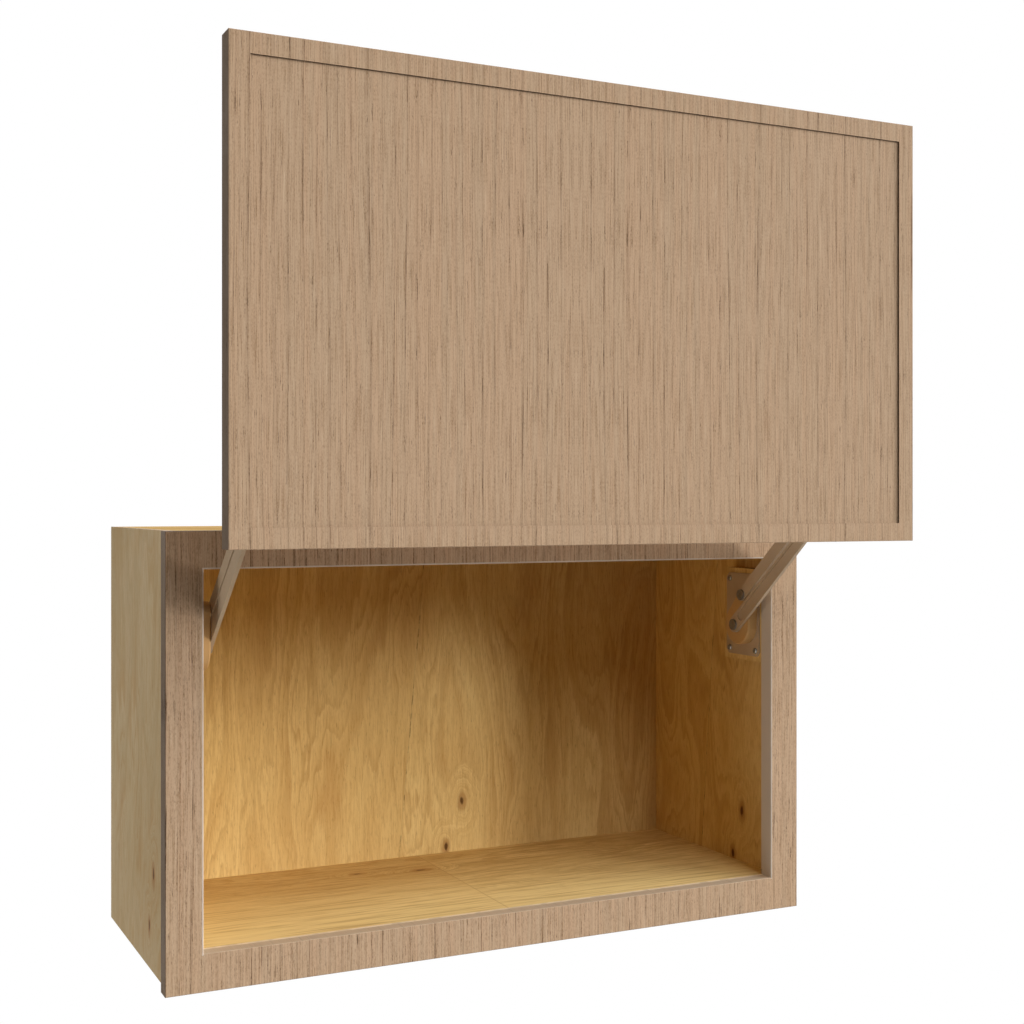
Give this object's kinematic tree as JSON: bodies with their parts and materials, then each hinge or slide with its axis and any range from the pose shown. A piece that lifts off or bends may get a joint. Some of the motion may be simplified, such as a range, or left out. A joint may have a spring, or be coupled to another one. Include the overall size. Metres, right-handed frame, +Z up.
{
  "type": "wall cabinet",
  "caption": "Face-frame wall cabinet with an open interior and a slim framed oak-veneer door that a parallel-arm lift raises up and forward.",
  "frame": {"origin": "on the wall plane, at the middle of the upper hanging rail's rear face", "axes": "+Z up, +Y into the wall, +X to the right of someone facing the door; the front faces -Y"},
  "size_m": [0.762, 0.5125, 0.889],
  "materials": {
    "oak_veneer": "satin clear finish over straight-grained oak veneer",
    "birch_side": "clear-coated birch plywood",
    "birch_inside": "clear-coated amber birch plywood",
    "pine_rail": "planed softwood",
    "cover_plastic": "maple-toned moulded plastic with a fine texture",
    "lift_paint": "sand-beige satin powder coat",
    "bright_steel": "zinc plated",
    "spring_steel": "blued spring strip",
    "clear_bumper": "translucent soft polyurethane"
  },
  "bodies": {
    "cabinet": {"frame_stile_left": "oak_veneer", "frame_stile_right": "oak_veneer", "frame_top_rail": "oak_veneer", "frame_bottom_rail": "oak_veneer", "side_panel_left": "birch_side", "side_panel_right": "birch_side", "top_panel": "birch_inside", "bottom_panel": "birch_inside", "back_panel": "birch_inside", "mounting_block_left": "birch_inside", "mounting_block_right": "birch_inside", "upper_hanging_rail": "pine_rail", "lower_hanging_rail": "pine_rail", "lift_cover_left": "cover_plastic", "lift_cover_right": "cover_plastic", "lift_base_left": "lift_paint", "lift_base_right": "lift_paint", "main_stud_left": "bright_steel", "main_stud_right": "bright_steel", "guide_stud_left": "bright_steel", "guide_stud_right": "bright_steel", "balance_springs": "spring_steel"},
    "main_arm_left": {"main_arm_left": "lift_paint"},
    "main_arm_right": {"main_arm_right": "lift_paint"},
    "guide_arm_left": {"guide_arm_left": "lift_paint"},
    "guide_arm_right": {"guide_arm_right": "lift_paint"},
    "door": {"door_stile_left": "oak_veneer", "door_stile_right": "oak_veneer", "door_top_rail": "oak_veneer", "door_bottom_rail": "oak_veneer", "door_panel": "oak_veneer", "door_bracket_left": "lift_paint", "door_bracket_right": "lift_paint", "bracket_pins_left": "bright_steel", "bracket_pins_right": "bright_steel", "door_bumpers": "clear_bumper"}
  },
  "joints": [
    {"name": "door_lift", "type": "hinge", "parent": "cabinet", "child": "main_arm_left", "pos_m": [-0.3265, -0.25475, -0.06614], "axis": [1, 0, 0], "range_deg": [0, 125.09], "deforming": ["balance_springs"]},
    {"name": "door_level", "type": "hinge", "parent": "main_arm_left", "child": "door", "pos_m": [-0.3265, -0.46032, 0.10526], "axis": [1, 0, 0], "range_deg": [-125.09, 0]},
    {"name": "right_main_arm_turn", "type": "hinge", "parent": "cabinet", "child": "main_arm_right", "pos_m": [0.3265, -0.25475, -0.06614], "axis": [1, 0, 0], "range_deg": [0, 125.09]},
    {"name": "left_guide_arm_turn", "type": "hinge", "parent": "cabinet", "child": "guide_arm_left", "pos_m": [-0.3265, -0.2702, -0.02925], "axis": [1, 0, 0], "range_deg": [0, 125.09]},
    {"name": "right_guide_arm_turn", "type": "hinge", "parent": "cabinet", "child": "guide_arm_right", "pos_m": [0.3265, -0.2702, -0.02925], "axis": [1, 0, 0], "range_deg": [0, 125.09]}
  ],
  "couplings": [
    {"joint": "door_level", "follows": "door_lift", "ratio": -1},
    {"joint": "right_main_arm_turn", "follows": "door_lift", "ratio": 1},
    {"joint": "left_guide_arm_turn", "follows": "door_lift", "ratio": 1},
    {"joint": "right_guide_arm_turn", "follows": "door_lift", "ratio": 1}
  ]
}
